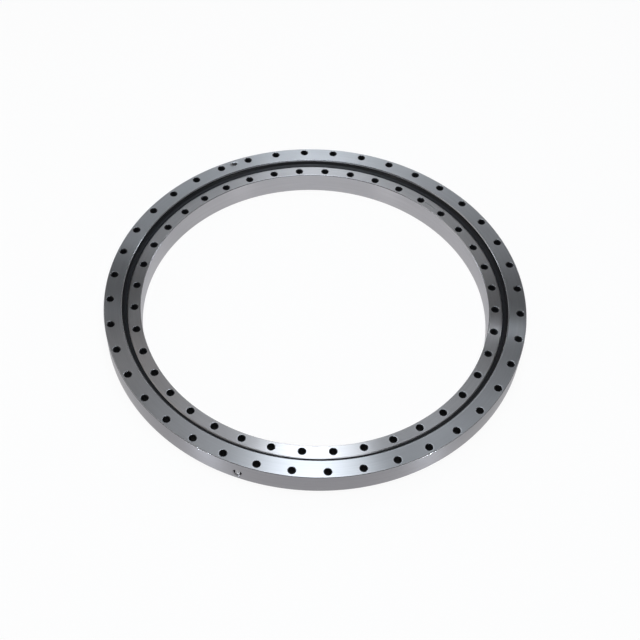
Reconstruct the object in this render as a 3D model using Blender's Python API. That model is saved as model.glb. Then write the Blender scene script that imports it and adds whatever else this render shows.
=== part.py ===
"""Slewing ring bearing with crossed rollers.

Two steel rings turn in each other about the vertical axis. Their facing walls each hold a V-shaped
raceway, and together the two V's make a square channel standing on its corner. Rollers fill it,
leaning 45 degrees outwards and inwards by turns, with a saddle-shaped spacer between each two.

The section is the same turned half round: the inner ring is the outer ring's section, rotated by
180 degrees about the middle of the rollers. Sections are therefore written once, for the outer ring,
as points (x, y): x outwards from the roller circle, y upwards from the rollers' middle plane.
The origin is in the middle of the face that the bearing stands on, with Z along the slewing axis.
"""

import math

import bmesh
import bpy
from mathutils import Matrix, Vector

MM = 0.001

# Rings, measured from the roller circle and the rollers' middle plane
ROLLER_CIRCLE_DIAMETER = 744 * MM
OUTER_RING_REACH = 35 * MM
INNER_RING_REACH = 35 * MM
BOLTING_FACE_HEIGHT = 28 * MM
WALL_GAP = 1.0 * MM
RIM_CHAMFER = 1.0 * MM
LIP_CHAMFER = 1.0 * MM

# Bolt holes
BOLT_HOLE_COUNT = 40
BOLT_HOLE_DIAMETER = 14 * MM
OUTER_HOLE_INSET = 12 * MM
INNER_HOLE_INSET = 12 * MM
INNER_RING_TURN = math.radians(2.1)

# Rollers and spacers, in runs: the rollers of one run are fused with the spacers between them
ROLLER_DIAMETER = 14 * MM
ROLLER_LENGTH_RELIEF = 0.6 * MM
SPACER_WEB = 5.4 * MM
PAIRS_PER_RUN = 2

# Seals
RACEWAY_LAND = 2.7 * MM
SEAL_WIDTH = 8.5 * MM
SEAL_DEPTH = 5.0 * MM
SEAL_UNDERCUT = 0.8 * MM
SEAL_CHAMFER_WIDTH = 2.0 * MM
SEAL_CHAMFER_DEPTH = 1.2 * MM
SEAL_FACE_DROP = 0.3 * MM
SEAL_LIP_THICKNESS = 1.2 * MM
SEAL_LIP_DROP = 4.0 * MM
SEAL_SHOULDER = 4.5 * MM

# Filling plug and its taper pin
PLUG_GAP_NUMBER = 12
PLUG_DIAMETER = 21 * MM
PLUG_DROP = 0.5 * MM
EXTRACTION_HOLE_DIAMETER = 8 * MM
EXTRACTION_HOLE_DEPTH = 5 * MM
PIN_DIAMETER = 8 * MM
PIN_TAPER = 1 / 50
PIN_DROP = 2.0 * MM
PIN_BELOW_PLUG = 3.0 * MM

# Grease ports
NIPPLE_COUNT = 4
NIPPLE_GAP_NUMBER = 7
COUNTERSINK_DIAMETER = 19 * MM
COUNTERSINK_DEPTH = 1.6 * MM
NIPPLE_HEAD_DIAMETER = 15 * MM
NIPPLE_HEAD_HEIGHT = 2.0 * MM
NIPPLE_THREAD_DIAMETER = 8 * MM
NIPPLE_THREAD_LENGTH = 8 * MM
FUNNEL_DIAMETER = 7.6 * MM
FUNNEL_DEPTH = 1.2 * MM
GREASE_WAY_DIAMETER = 4 * MM

# Fits: what turns keeps the running clearance, what is seated keeps the seat clearance
RUNNING_CLEARANCE = 0.3 * MM
SEAT_CLEARANCE = 0.3 * MM
POCKET_CLEARANCE = 0.5 * MM

# Facets
RING_SIDES_PER_HOLE = 2
HOLE_SIDES = 10
ROLLER_SIDES = 10
PLUG_SIDES = 16
SMALL_SIDES = 10
CUTTER_OVERRUN = 2 * MM
SMOOTH_BELOW = math.radians(35)

# Worked out from the sizes above
ROLLER_CIRCLE = ROLLER_CIRCLE_DIAMETER / 2
WALL = WALL_GAP / 2
RING_SIDES = BOLT_HOLE_COUNT * RING_SIDES_PER_HOLE
HOLE_PITCH = math.tau / BOLT_HOLE_COUNT
SIDE_ANGLE = math.tau / RING_SIDES
RACEWAY_APEX = (ROLLER_DIAMETER / 2 + RUNNING_CLEARANCE) * math.sqrt(2)
RACEWAY_HALF_OPENING = RACEWAY_APEX - WALL
SEAL_ROOF = RACEWAY_HALF_OPENING + RACEWAY_LAND
SEAL_FACE = SEAL_ROOF + SEAL_DEPTH
OUTER_HOLE_CIRCLE = ROLLER_CIRCLE + OUTER_RING_REACH - OUTER_HOLE_INSET
INNER_HOLE_CIRCLE = ROLLER_CIRCLE - INNER_RING_REACH + INNER_HOLE_INSET
OUTER_WALL = ROLLER_CIRCLE + OUTER_RING_REACH
RUN_LENGTH = 2 * PAIRS_PER_RUN * (ROLLER_DIAMETER + SPACER_WEB)
RUN_COUNT = int(math.tau * ROLLER_CIRCLE / RUN_LENGTH)
ROLLER_PAIRS = RUN_COUNT * PAIRS_PER_RUN
ROLLER_STEP = math.pi / ROLLER_PAIRS
ROLLER_LENGTH = ROLLER_DIAMETER - ROLLER_LENGTH_RELIEF
LEAN_OUT = math.radians(45)
LEAN_IN = math.radians(135)
POCKET_POINTS = 4
PLUG_ANGLE = (PLUG_GAP_NUMBER + 0.5) * HOLE_PITCH


def material(name, colour, roughness, metallic):
    """A finish with one colour, for one kind of piece."""
    made = bpy.data.materials.new(name)
    made.use_nodes = True
    shader = made.node_tree.nodes["Principled BSDF"]
    shader.inputs["Base Color"].default_value = (*colour, 1.0)
    shader.inputs["Roughness"].default_value = roughness
    shader.inputs["Metallic"].default_value = metallic
    made.diffuse_color = (*colour, 1.0)
    return made


def mesh_object(name, bm, finishes, group):
    """Closes a bmesh into a named object, shaded smooth but for its edges, under its group."""
    bmesh.ops.recalc_face_normals(bm, faces=bm.faces)
    mesh = bpy.data.meshes.new(name)
    bm.to_mesh(mesh)
    bm.free()
    mesh.shade_smooth()
    mesh.set_sharp_from_angle(angle=SMOOTH_BELOW)
    made = bpy.data.objects.new(name, mesh)
    bpy.context.scene.collection.objects.link(made)
    for finish in finishes:
        mesh.materials.append(finish)
    made.parent = group
    return made


def cutter(name, bm):
    """A shape that only cuts others: it is shown as wire and never rendered."""
    made = mesh_object(name, bm, [], None)
    made.hide_render = True
    made.display_type = "WIRE"
    return made


def cut(piece, tool):
    """Takes the tool's shape away from the piece."""
    boolean = piece.modifiers.new(tool.name, "BOOLEAN")
    boolean.operation = "DIFFERENCE"
    boolean.solver = "EXACT"
    boolean.object = tool


def axis_group(name):
    """An empty on the slewing axis, which everything that turns together is parented to."""
    made = bpy.data.objects.new(name, None)
    bpy.context.scene.collection.objects.link(made)
    return made


def spin_section(bm, points, first_angle):
    """Spins a closed section of (radius, height) points once round the slewing axis."""
    start = Matrix.Rotation(first_angle, 3, "Z")
    corners = [bm.verts.new(start @ Vector((radius, 0, height))) for radius, height in points]
    edges = [bm.edges.new(pair) for pair in zip(corners, corners[1:] + corners[:1])]
    bmesh.ops.spin(
        bm,
        geom=corners + edges,
        axis=(0, 0, 1),
        cent=(0, 0, 0),
        angle=math.tau,
        steps=RING_SIDES,
        use_merge=True,
    )


def turned_solid(bm, points, sides, place):
    """Adds a small turned solid: (radius, height) points up its side, flat ends, set in place."""
    rings = []
    for radius, height in points:
        angles = [math.tau * side / sides for side in range(sides)]
        round_points = [Vector((radius * math.cos(a), radius * math.sin(a), height)) for a in angles]
        rings.append([bm.verts.new(place @ point) for point in round_points])
    for lower, upper in zip(rings, rings[1:]):
        for side in range(sides):
            after = (side + 1) % sides
            bm.faces.new((lower[side], lower[after], upper[after], upper[side]))
    bm.faces.new(rings[0][::-1])
    bm.faces.new(rings[-1])


def outer_section_ring(name, section, finish, group):
    """A ring of the outer group. Its facets lie outside the true circle, so its walls stay clear."""
    grow = 1 / math.cos(SIDE_ANGLE / 2)
    points = [((ROLLER_CIRCLE + x) * grow, BOLTING_FACE_HEIGHT + y) for x, y in section]
    bm = bmesh.new()
    spin_section(bm, points, SIDE_ANGLE / 2)
    return mesh_object(name, bm, [finish], group)


def inner_section_ring(name, section, finish, group):
    """A ring of the inner group: the section turned half round, with facets inside the circle."""
    points = [(ROLLER_CIRCLE - x, BOLTING_FACE_HEIGHT - y) for x, y in section]
    bm = bmesh.new()
    spin_section(bm, points, INNER_RING_TURN + SIDE_ANGLE / 2)
    return mesh_object(name, bm, [finish], group)


def ring_section(reach):
    """Section of a ring: bolting face up, V raceway towards the other ring, seal recess below."""
    return [
        (WALL, BOLTING_FACE_HEIGHT - LIP_CHAMFER),
        (WALL, RACEWAY_HALF_OPENING),
        (RACEWAY_APEX, 0),
        (WALL, -RACEWAY_HALF_OPENING),
        (WALL, -SEAL_ROOF),
        (WALL + SEAL_WIDTH + SEAL_UNDERCUT, -SEAL_ROOF),
        (WALL + SEAL_WIDTH, -SEAL_FACE + SEAL_CHAMFER_DEPTH),
        (WALL + SEAL_WIDTH + SEAL_CHAMFER_WIDTH, -SEAL_FACE),
        (reach - RIM_CHAMFER, -SEAL_FACE),
        (reach, -SEAL_FACE + RIM_CHAMFER),
        (reach, BOLTING_FACE_HEIGHT - RIM_CHAMFER),
        (reach - RIM_CHAMFER, BOLTING_FACE_HEIGHT),
        (WALL + LIP_CHAMFER, BOLTING_FACE_HEIGHT),
    ]


def seal_section():
    """Section of a seal: a foot held by the recess's undercut, and a lip to the other ring's wall."""
    foot = -SEAL_ROOF - SEAT_CLEARANCE
    heel = WALL + SEAL_WIDTH - SEAT_CLEARANCE
    face = -SEAL_FACE + SEAL_FACE_DROP
    lip = -WALL + RUNNING_CLEARANCE
    lip_end = -BOLTING_FACE_HEIGHT + SEAL_LIP_DROP
    return [
        (heel + SEAL_UNDERCUT, foot),
        (WALL + SEAT_CLEARANCE, foot),
        (lip, lip_end),
        (lip + SEAL_LIP_THICKNESS, lip_end),
        (lip + SEAL_SHOULDER, -SEAL_FACE),
        (heel, face),
        (heel, -SEAL_FACE + SEAL_CHAMFER_DEPTH),
    ]


def bolt_hole_cutter(name, circle, first_angle):
    """One cylinder for each bolt hole of a circle, right through both faces."""
    bm = bmesh.new()
    depth = 2 * (BOLTING_FACE_HEIGHT + CUTTER_OVERRUN)
    for number in range(BOLT_HOLE_COUNT):
        turn = Matrix.Rotation(first_angle + number * HOLE_PITCH, 4, "Z")
        bmesh.ops.create_cone(
            bm,
            cap_ends=True,
            segments=HOLE_SIDES,
            radius1=BOLT_HOLE_DIAMETER / 2,
            radius2=BOLT_HOLE_DIAMETER / 2,
            depth=depth,
            matrix=turn @ Matrix.Translation((circle, 0, BOLTING_FACE_HEIGHT)),
        )
    return cutter(name, bm)


def radial(angle):
    """Placement that turns a piece's own Z into the way straight out from the slewing axis."""
    turn = Matrix.Rotation(angle, 4, "Z")
    lift = Matrix.Translation((0, 0, BOLTING_FACE_HEIGHT))
    return turn @ lift @ Matrix.Rotation(math.radians(90), 4, "Y")


def nipple_angles():
    """Angles of the grease ports, each midway between two bolt holes."""
    step = BOLT_HOLE_COUNT / NIPPLE_COUNT
    gaps = [NIPPLE_GAP_NUMBER + int(number * step) for number in range(NIPPLE_COUNT)]
    return [(gap + 0.5) * HOLE_PITCH for gap in gaps]


def radial_bore_cutter():
    """The bore for the filling plug and the four stepped grease ports, from outside to raceway."""
    bm = bmesh.new()
    outside = OUTER_WALL + CUTTER_OVERRUN
    seat = OUTER_WALL - COUNTERSINK_DEPTH
    shoulder = seat - NIPPLE_HEAD_HEIGHT
    thread_end = shoulder - NIPPLE_THREAD_LENGTH - SEAT_CLEARANCE
    flare = (COUNTERSINK_DIAMETER - NIPPLE_HEAD_DIAMETER) / 2 - SEAT_CLEARANCE
    overrun_flare = flare * CUTTER_OVERRUN / COUNTERSINK_DEPTH
    head = NIPPLE_HEAD_DIAMETER / 2 + SEAT_CLEARANCE
    thread = NIPPLE_THREAD_DIAMETER / 2 + SEAT_CLEARANCE
    port = [
        (GREASE_WAY_DIAMETER / 2, ROLLER_CIRCLE),
        (GREASE_WAY_DIAMETER / 2, thread_end),
        (thread, thread_end),
        (thread, shoulder),
        (head, shoulder),
        (head, seat),
        (COUNTERSINK_DIAMETER / 2 + overrun_flare, outside),
    ]
    for angle in nipple_angles():
        turned_solid(bm, port, SMALL_SIDES, radial(angle))
    bore = PLUG_DIAMETER / 2 + SEAT_CLEARANCE
    turned_solid(bm, [(bore, ROLLER_CIRCLE), (bore, outside)], PLUG_SIDES, radial(PLUG_ANGLE))
    return cutter("radial_bores", bm)


def pin_radius(depth):
    """Radius of the taper pin at a depth below the bolting face."""
    return (PIN_DIAMETER - depth * PIN_TAPER) / 2


def pin_solid(bm, top, bottom, grow):
    """The taper pin's cone between two heights, made larger all round by grow."""
    face = 2 * BOLTING_FACE_HEIGHT
    points = [(pin_radius(face - height) + grow, height) for height in (bottom, top)]
    turn = Matrix.Rotation(PLUG_ANGLE, 4, "Z")
    turned_solid(bm, points, SMALL_SIDES, turn @ Matrix.Translation((OUTER_HOLE_CIRCLE, 0, 0)))


def pin_bottom():
    """Height of the taper pin's lower end, a little below the filling plug."""
    return BOLTING_FACE_HEIGHT - PLUG_DIAMETER / 2 - PIN_BELOW_PLUG


def taper_pin(finish, group):
    """The pin that holds the filling plug, sunk a little below the outer ring's face."""
    bm = bmesh.new()
    pin_solid(bm, 2 * BOLTING_FACE_HEIGHT - PIN_DROP, pin_bottom(), 0)
    return mesh_object("plug_taper_pin", bm, [finish], group)


def pin_hole_cutter():
    """The reamed hole for the taper pin, through the ring's upper part and the plug."""
    bm = bmesh.new()
    top = 2 * BOLTING_FACE_HEIGHT + CUTTER_OVERRUN
    pin_solid(bm, top, pin_bottom() - SEAT_CLEARANCE, SEAT_CLEARANCE)
    return cutter("pin_hole", bm)


def raceway_wedge_cutter():
    """The stretch of V raceway that the filling plug carries, wider than the plug."""
    bm = bmesh.new()
    mouth = RACEWAY_APEX + CUTTER_OVERRUN
    section = [(RACEWAY_APEX, 0), (-CUTTER_OVERRUN, mouth), (-CUTTER_OVERRUN, -mouth)]
    turn = Matrix.Rotation(PLUG_ANGLE, 3, "Z")
    ends = []
    for side in (-PLUG_DIAMETER, PLUG_DIAMETER):
        points = [Vector((ROLLER_CIRCLE + x, side, BOLTING_FACE_HEIGHT + y)) for x, y in section]
        ends.append([bm.verts.new(turn @ point) for point in points])
    near, far = ends
    bm.faces.new(near)
    bm.faces.new(far[::-1])
    for corner in range(len(section)):
        after = (corner + 1) % len(section)
        bm.faces.new((near[corner], far[corner], far[after], near[after]))
    return cutter("plug_raceway", bm)


def extraction_hole_cutter():
    """The blind hole in the plug's outer end, where a screw pulls the plug out."""
    bm = bmesh.new()
    hole = EXTRACTION_HOLE_DIAMETER / 2
    floor = OUTER_WALL - PLUG_DROP - EXTRACTION_HOLE_DEPTH
    points = [(hole, floor), (hole, OUTER_WALL + CUTTER_OVERRUN)]
    turned_solid(bm, points, SMALL_SIDES, radial(PLUG_ANGLE))
    return cutter("extraction_hole", bm)


def filling_plug(pin_hole, finish, group):
    """The round plug that closes the rollers' filling hole, with its own stretch of raceway."""
    bm = bmesh.new()
    radius = PLUG_DIAMETER / 2
    points = [(radius, ROLLER_CIRCLE + WALL), (radius, OUTER_WALL - PLUG_DROP)]
    turned_solid(bm, points, PLUG_SIDES, radial(PLUG_ANGLE))
    plug = mesh_object("filling_plug", bm, [finish], group)
    cut(plug, raceway_wedge_cutter())
    cut(plug, pin_hole)
    cut(plug, extraction_hole_cutter())
    return plug


def grease_nipple(name, angle, finish, group):
    """A flush grease nipple: thread, head on its shoulder, and a funnel for the gun's nose."""
    bm = bmesh.new()
    face = OUTER_WALL - COUNTERSINK_DEPTH
    under_head = face - NIPPLE_HEAD_HEIGHT + SEAT_CLEARANCE
    thread = NIPPLE_THREAD_DIAMETER / 2
    head = NIPPLE_HEAD_DIAMETER / 2
    points = [
        (thread, under_head - NIPPLE_THREAD_LENGTH),
        (thread, under_head),
        (head, under_head),
        (head, face),
        (FUNNEL_DIAMETER / 2, face),
        (FUNNEL_DIAMETER / 2 - FUNNEL_DEPTH, face - FUNNEL_DEPTH),
    ]
    turned_solid(bm, points, SMALL_SIDES, radial(angle))
    return mesh_object(name, bm, [finish], group)


def outer_ring(pin_hole, finish, group):
    """The outer ring with its bolt holes, grease ports, filling bore and pin hole."""
    ring = outer_section_ring("outer_ring", ring_section(OUTER_RING_REACH), finish, group)
    cut(ring, bolt_hole_cutter("outer_bolt_holes", OUTER_HOLE_CIRCLE, 0))
    cut(ring, radial_bore_cutter())
    cut(ring, pin_hole)
    return ring


def inner_ring(finish, group):
    """The inner ring with its bolt holes, turned as the photograph shows it."""
    ring = inner_section_ring("inner_ring", ring_section(INNER_RING_REACH), finish, group)
    cut(ring, bolt_hole_cutter("inner_bolt_holes", INNER_HOLE_CIRCLE, INNER_RING_TURN))
    return ring


def station(angle, lean):
    """Placement on the roller circle: own Y along the circle, own Z leaning from the vertical."""
    turn = Matrix.Rotation(angle, 4, "Z")
    middle = Matrix.Translation((ROLLER_CIRCLE, 0, BOLTING_FACE_HEIGHT))
    return turn @ middle @ Matrix.Rotation(lean, 4, "Y")


def roller_point(index, radius, z):
    """A corner of the roller's polygon, counted from the facet that faces along the circle."""
    angle = math.pi / 2 + (index + 0.5) * math.tau / ROLLER_SIDES
    return Vector((radius * math.cos(angle), radius * math.sin(angle), z))


def pocket_path(first):
    """The corners of the roller that a pocket covers, in the order of their own X."""
    indices = [(first + step) % ROLLER_SIDES for step in range(POCKET_POINTS)]
    return sorted(indices, key=lambda index: roller_point(index, 1, 0).x)


AHEAD = pocket_path(-POCKET_POINTS // 2)
BEHIND = pocket_path(ROLLER_SIDES // 2 - POCKET_POINTS // 2)


def add_roller(bm, place, open_behind, open_ahead):
    """A roller's two ends and the facets that no pocket covers. Returns its corners at each end."""
    ends = []
    for z in (-ROLLER_LENGTH / 2, ROLLER_LENGTH / 2):
        points = [roller_point(index, ROLLER_DIAMETER / 2, z) for index in range(ROLLER_SIDES)]
        ends.append([bm.verts.new(place @ point) for point in points])
        bm.faces.new(ends[-1])
    covered = (set(BEHIND) if open_behind else set(), set(AHEAD) if open_ahead else set())
    for index in range(ROLLER_SIDES):
        after = (index + 1) % ROLLER_SIDES
        if any({index, after} <= pocket for pocket in covered):
            continue
        bm.faces.new((ends[0][index], ends[0][after], ends[1][after], ends[1][index]))
    return ends


def add_free_pocket(bm, place):
    """The pocket at a run's end, clear of the next run's first roller. Returns its corners."""
    radius = ROLLER_DIAMETER / 2 + POCKET_CLEARANCE
    paths = []
    for z in (-ROLLER_LENGTH / 2, ROLLER_LENGTH / 2):
        paths.append([bm.verts.new(place @ roller_point(index, radius, z)) for index in BEHIND])
    low, high = paths
    for point in range(POCKET_POINTS - 1):
        bm.faces.new((low[point], low[point + 1], high[point + 1], high[point]))
    return paths


def stitch(bm, path, edge):
    """Joins a pocket's path of four corners to the two corners of an edge, with three faces."""
    near, far = edge
    faces = [(path[0], path[1], near), (path[1], path[2], far, near), (path[2], path[3], far)]
    for corners in faces:
        bm.faces.new(corners).material_index = 1


def add_spacer(bm, before, behind, lean):
    """The four sides of a saddle between two crossed pockets, given as two paths of corners each.

    The second pocket's own axes lie a quarter turn from the first one's, one way round after a
    roller that leans out and the other way after one that leans in.
    """
    if lean == LEAN_OUT:
        low, high = behind
        low_path, high_path = low[::-1], high[::-1]
        low_side, high_side = -1, 0
    else:
        high, low = behind
        low_path, high_path = low, high
        low_side, high_side = 0, -1
    stitch(bm, before[0], (low[low_side], high[low_side]))
    stitch(bm, before[1], (low[high_side], high[high_side]))
    stitch(bm, low_path, (before[0][0], before[1][0]))
    stitch(bm, high_path, (before[0][-1], before[1][-1]))


def roller_run(name, first_pair, last_pair, finishes, group):
    """One run: rollers leaning out and in by turns, each fused with the saddle that follows it."""
    bm = bmesh.new()
    first = 2 * first_pair
    last = 2 * last_pair - 1
    pocket_before = None
    for number in range(first, last + 1):
        lean, next_lean = (LEAN_IN, LEAN_OUT) if number % 2 else (LEAN_OUT, LEAN_IN)
        place = station(number * ROLLER_STEP, lean)
        corners = add_roller(bm, place, pocket_before is not None, True)
        if pocket_before:
            behind = [[end[index] for index in BEHIND] for end in corners]
            add_spacer(bm, pocket_before, behind, next_lean)
        pocket_before = [[end[index] for index in AHEAD] for end in corners]
    end_pocket = add_free_pocket(bm, station((last + 1) * ROLLER_STEP, next_lean))
    add_spacer(bm, pocket_before, end_pocket, lean)
    return mesh_object(name, bm, finishes, group)


def roller_set(finishes, group):
    """As many runs of rollers and spacers as the roller circle holds, spread evenly round it."""
    for run in range(RUN_COUNT):
        first = run * PAIRS_PER_RUN
        last = first + PAIRS_PER_RUN
        roller_run(f"rollers_and_spacers_{run + 1:02d}", first, last, finishes, group)


def main():
    for old in list(bpy.data.objects):
        bpy.data.objects.remove(old, do_unlink=True)

    ring_steel = material("ring_steel", (0.52, 0.53, 0.55), 0.28, 1.0)
    roller_steel = material("roller_steel", (0.70, 0.70, 0.71), 0.15, 1.0)
    pin_steel = material("pin_steel", (0.45, 0.45, 0.46), 0.30, 1.0)
    nipple_steel = material("nipple_steel", (0.78, 0.78, 0.76), 0.25, 1.0)
    seal_rubber = material("seal_rubber", (0.035, 0.035, 0.04), 0.55, 0.0)
    spacer_plastic = material("spacer_plastic", (0.78, 0.74, 0.62), 0.45, 0.0)

    standing = axis_group("inner_group")
    turning = axis_group("outer_group")
    rolling = axis_group("roller_group")

    inner_ring(ring_steel, standing)
    inner_section_ring("upper_seal", seal_section(), seal_rubber, standing)

    pin_hole = pin_hole_cutter()
    outer_ring(pin_hole, ring_steel, turning)
    outer_section_ring("lower_seal", seal_section(), seal_rubber, turning)
    filling_plug(pin_hole, ring_steel, turning)
    taper_pin(pin_steel, turning)
    for number, angle in enumerate(nipple_angles(), 1):
        grease_nipple(f"grease_nipple_{number}", angle, nipple_steel, turning)

    roller_set([roller_steel, spacer_plastic], rolling)


main()
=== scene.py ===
"""Slewing ring bearing, finished: turned steel rings, rubber seals, rollers, spacers, plug and nipples.

Every shape is a surface worked out on a grid of points. Sections are written once, for the outer ring, as
points (x, y): x outwards from the roller circle, y upwards from the rollers' middle plane. The inner ring
and its seal are the same sections turned half round, which is a side of -1 instead of 1.
"""

import math

import bmesh
import bpy
import numpy as np
from mathutils import Matrix, Vector


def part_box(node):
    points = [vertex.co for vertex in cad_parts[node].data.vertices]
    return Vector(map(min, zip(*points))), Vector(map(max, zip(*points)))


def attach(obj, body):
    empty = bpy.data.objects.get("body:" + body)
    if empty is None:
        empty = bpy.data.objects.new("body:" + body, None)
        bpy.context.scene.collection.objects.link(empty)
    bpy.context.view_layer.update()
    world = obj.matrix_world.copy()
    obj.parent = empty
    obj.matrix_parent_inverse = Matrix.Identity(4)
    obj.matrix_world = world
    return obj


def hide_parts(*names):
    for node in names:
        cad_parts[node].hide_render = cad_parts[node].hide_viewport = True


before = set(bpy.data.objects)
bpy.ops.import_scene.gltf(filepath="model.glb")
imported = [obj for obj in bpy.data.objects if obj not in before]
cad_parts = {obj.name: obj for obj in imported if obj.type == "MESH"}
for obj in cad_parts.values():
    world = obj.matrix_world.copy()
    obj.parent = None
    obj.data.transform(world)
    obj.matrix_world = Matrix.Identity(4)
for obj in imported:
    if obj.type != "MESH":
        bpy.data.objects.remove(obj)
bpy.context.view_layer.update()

MM = 0.001
OUT, IN = 1, -1

# Sizes read from the frame
OUTER_LOW, OUTER_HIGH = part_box("outer_ring")
UPPER_SEAL_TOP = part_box("upper_seal")[1].z
OUTER_WALL = OUTER_HIGH.x
TOP_FACE = OUTER_HIGH.z
BOLTING_FACE = TOP_FACE / 2
STEP_FACE = BOLTING_FACE - OUTER_LOW.z

# Rings
REACH = 35 * MM
WALL = 0.5 * MM
RIM_CHAMFER = 1.0 * MM
LIP_CHAMFER = 1.0 * MM
EDGE_BLEND = 0.3 * MM
RING_EDGE_BLEND = 0.16 * MM
FACE_LIP = 0.5 * MM
ROLLER_CIRCLE = OUTER_WALL - REACH
INNER_RING_TURN = math.radians(2.1)

# A corner is cut back by no more than this share of its shorter side
MOST_CUT_BACK = 0.45

# A strip counts as upright or level where it leans by less than this share of its length
SQUARE_WITHIN = 0.2

# Rows of a flat face, as shares of the way from its sector's edge to the bolt hole
FACE_ROWS = (0, 0.45, 0.8, 1)

# Bolt holes
BOLT_HOLE_COUNT = 40
HOLE_PITCH = math.tau / BOLT_HOLE_COUNT
HOLE_X = 23 * MM
HOLE_RADIUS = 7 * MM
HOLE_CHAMFER = 0.5 * MM
ARC_STEPS = 16
FLANK_STEPS = 12
HOLE_STEPS = 2 * (ARC_STEPS + FLANK_STEPS)
RING_STEPS = BOLT_HOLE_COUNT * ARC_STEPS

# Seals and raceways
SEAL_WIDTH = 8.5 * MM
SEAL_DEPTH = 5.0 * MM
SEAL_UNDERCUT = 0.8 * MM
SEAL_LIP_THICKNESS = 1.2 * MM
SEAL_ROOT_WIDTH = 3.9 * MM
SEAL_ROOT_RISE = 1.6 * MM
SEAL_CHAMFER_WIDTH = 2.0 * MM
SEAL_CHAMFER_DEPTH = 1.2 * MM
SEAL_RIDGE = 0.1 * MM
SEAL_RIDGE_COUNT = 3
SEAL_LIP_STRAIGHT = 0.3
SEAL_ROOT_STEPS = 8
SEAL_RIDGE_STEPS = 12
SEAT_CLEARANCE = 0.3 * MM
RACEWAY_LAND = 2.7 * MM
RELIEF = 1.2 * MM
RELIEF_DEPTH = RELIEF / 4
RELIEF_FLOOR_HALF = 0.7 * RELIEF
SEAL_ROOF = STEP_FACE - SEAL_DEPTH
RACEWAY_MOUTH = SEAL_ROOF - RACEWAY_LAND
RACEWAY_APEX = RACEWAY_MOUTH + WALL

# Rollers and spacers
ROLLER_COUNT = 120
ROLLER_RADIUS = 7 * MM
ROLLER_LENGTH = 13.4 * MM
ROLLER_CHAMFER = 0.6 * MM
ROLLER_SIDES = 28
LEAN_OUT = math.radians(45)
LEAN_IN = math.radians(135)
SADDLE_HALF = 6.2 * MM
SADDLE_CLEARANCE = 0.45 * MM
SADDLE_SIDES = 24
SADDLE_SQUARENESS = 4

# Rows of a spacer's two hollows, as shares of the way out from its middle
SADDLE_ROWS = (0, 0.5, 1, 1, 0.5, 0)

# Filling plug, its pin and the grease ports
PLUG_ANGLE = 12.5 * HOLE_PITCH
PLUG_RADIUS = 10.5 * MM
PLUG_DROP = 0.5 * MM
PLUG_CHAMFER = 0.6 * MM
WEDGE_HALF = 2 * PLUG_RADIUS
PIN_RADIUS = 4 * MM
PIN_TAPER = 1 / 50
PIN_DROP = 2.0 * MM
PIN_BELOW_PLUG = 3.0 * MM
PIN_MOUTH_WIDTH = 1.2 * MM
PIN_MOUTH_DEPTH = 0.6 * MM
EXTRACTION_RADIUS = 4 * MM
EXTRACTION_DEPTH = 5 * MM
DRILL_POINT = EXTRACTION_RADIUS / 2
THREAD_PITCH = 1.25 * MM
THREAD_DEPTH = 0.45 * MM
THREAD_STEPS = 10
NIPPLE_ANGLES = [(gap + 0.5) * HOLE_PITCH for gap in (7, 17, 27, 37)]
COUNTERSINK_RADIUS = 9.5 * MM
COUNTERSINK_DEPTH = 1.6 * MM
NIPPLE_HEAD_RADIUS = 7.5 * MM
NIPPLE_HEAD_HEIGHT = 2.0 * MM
NIPPLE_FLAT = 4.1 * MM
NIPPLE_THREAD_RADIUS = 4 * MM
NIPPLE_THREAD_LENGTH = 8 * MM
FUNNEL_RADIUS = 3.8 * MM
FUNNEL_DEPTH = 1.2 * MM
BALL_RADIUS = 1.3 * MM
BALL_STEPS = 6
GREASE_WAY_RADIUS = 2 * MM
SMALL_STEPS = 64
OVERRUN = 2 * MM

# Meshes
WELD = 0.002 * MM
SHARP_ABOVE = math.radians(28)

# Camera, as fitted to the 80 bolt holes of the photograph
PHOTO_TURN = math.radians(-5.455)
CAMERA_ELEVATION = math.radians(50.434)
CAMERA_DISTANCE = 2093.47 * MM
CAMERA_PAN = math.radians(1.776)
CAMERA_TILT = math.radians(-1.483)
CAMERA_ROLL = math.radians(-2.787)
FOCAL_PIXELS = 1079.92
PHOTO_PIXELS = 640
CROP_PIXELS = 40
SENSOR = 36
FAR_CLIP = 100

# Faces of a ring by finish, in the order of its material slots; the last is near-black steel, painted shade
# inside holes and ports
FACE, TURNED_WALL, EDGE, PAINTED_HOLE_SHADE = range(4)

# Marks of the lathe
GROOVES_PER_METRE = 2500.0
STREAKS_PER_METRE = 260.0
HEIGHT_SHARE = 0.77
BAND_SHARE = 0.06
BAND_WEIGHT = 0.6
STREAK_SCALE = 2.2
GROOVE_DEPTH = 0.001 * MM
GROOVE_STRENGTH = 0.5
TURNED_VARIATION = 0.12
TURNED_ROUGHNESS_VARIATION = 0.05
WIPED_ROUGHNESS = 0.12
QUARTER_TURN = 0.25

# The tool's ridges on the outer ring's faces are steeper on the side towards the axis
RIDGE_LEAN = math.radians(3.0)

# Clouds of handling, and the noise at which they start and at which they are full
CLOUD_SCALE = 9.0
CLOUD_FROM = 0.42
CLOUD_TO = 0.68

# Ground, plated and moulded surfaces, the near-black painted shade inside holes, and the rubber's own grain
GRAIN_SCALE = 400.0
GRAIN_DEPTH = 0.01 * MM
GRAIN_STRENGTH = 0.5
PLAIN_VARIATION = 0.1
PLAIN_CLOUD_SCALE = 30.0
CLEAN_ROUGHNESS = 0.9
HANDLED_ROUGHNESS = 1.15
RUBBER_GRAIN_SCALE = 900.0
RUBBER_GRAIN_DEPTH = 0.02 * MM
RUBBER_VARIATION = 0.2
RUBBER_GLOSS = 0.22

# Colour sockets of a Mix node, by place, because other sockets there have the same names
MIX_FIRST, MIX_SECOND, MIX_RESULT = 6, 7, 2

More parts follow.
